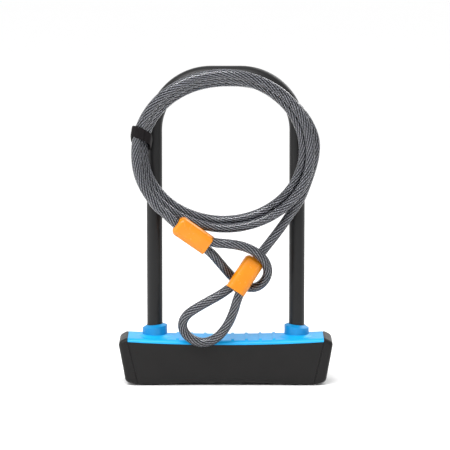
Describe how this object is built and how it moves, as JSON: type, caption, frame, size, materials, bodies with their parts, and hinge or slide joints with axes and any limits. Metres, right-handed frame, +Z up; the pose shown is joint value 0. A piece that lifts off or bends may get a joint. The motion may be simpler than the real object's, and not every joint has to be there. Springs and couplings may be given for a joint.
{
  "type": "bicycle u lock with loop cable",
  "caption": "Upright U-shaped shackle locked into a crossbar, with a coiled two-eye security cable leaning against it.",
  "frame": {"origin": "bottom centre of the crossbar, where the lock stands", "axes": "+Z up along the shackle's legs, +X along the crossbar, cable on the -Y side"},
  "size_m": [0.1954, 0.0594, 0.2942],
  "materials": {
    "black_cover": "fine moulded texture",
    "blue_top": "satin",
    "blue_collar": "satin",
    "hardened_steel": "ground",
    "nylon": "moulded",
    "foot_rubber": "matte",
    "brass": "machined",
    "cam_steel": "sintered",
    "vinyl_skin": "satin vinyl",
    "steel_cable": "twisted steel under clear vinyl",
    "crimp_metal": "pressed",
    "orange_sleeve": "satin vinyl",
    "strap_fabric": "hook-and-loop"
  },
  "bodies": {
    "crossbar": {"crossbar_cover": "black_cover", "top_insert": "blue_top", "end_cap_left": "black_cover", "end_cap_right": "black_cover", "collar_left": "blue_collar", "collar_right": "blue_collar", "crossbar_tube": "hardened_steel", "socket_liner_left": "nylon", "socket_liner_right": "nylon", "foot_cushions": "foot_rubber", "bolt_guide_left": "nylon", "bolt_guide_right": "nylon", "cylinder_housing": "brass", "housing_pins": "hardened_steel", "anti_drill_pins": "hardened_steel"},
    "plug_core": {"plug": "brass", "wafers": "brass", "plug_clip": "hardened_steel", "drive_cam": "cam_steel"},
    "bolt_left": {"deadbolt_left": "hardened_steel"},
    "bolt_right": {"deadbolt_right": "hardened_steel"},
    "shutter": {"dust_cover": "black_cover"},
    "shackle": {"shackle_bar": "hardened_steel", "shackle_skin": "vinyl_skin"},
    "cable": {"cable_coil": "steel_cable", "cable_lead": "steel_cable", "cable_run": "steel_cable", "cable_eye_upper": "steel_cable", "cable_eye_lower": "steel_cable", "sleeve_upper": "orange_sleeve", "sleeve_lower": "orange_sleeve", "crimp_upper": "crimp_metal", "crimp_lower": "crimp_metal", "cable_strap": "strap_fabric"}
  },
  "joints": [
    {"name": "shackle_slide", "type": "slide", "parent": "crossbar", "child": "shackle", "axis": [0, 0, 1], "range_m": [0, 0.06]},
    {"name": "plug_turn", "type": "hinge", "parent": "crossbar", "child": "plug_core", "pos_m": [0, 0, 0.0114], "axis": [0, 0, -1], "range_deg": [0, 90]},
    {"name": "bolt_left_slide", "type": "slide", "parent": "crossbar", "child": "bolt_left", "axis": [-1, 0, 0], "range_m": [0, 0.005]},
    {"name": "bolt_right_slide", "type": "slide", "parent": "crossbar", "child": "bolt_right", "axis": [1, 0, 0], "range_m": [0, 0.005]},
    {"name": "shutter_slide", "type": "slide", "parent": "crossbar", "child": "shutter", "axis": [1, 0, 0], "range_m": [0, 0.016]},
    {"name": "cable_lift", "type": "slide", "parent": "crossbar", "child": "cable", "axis": [0, -0.8, 0.6], "range_m": [0, 0.06]}
  ],
  "couplings": [
    {"joint": "plug_turn", "follows": "bolt_right_slide", "rad_per_m": 314.16},
    {"joint": "bolt_left_slide", "follows": "bolt_right_slide", "ratio": 1}
  ]
}
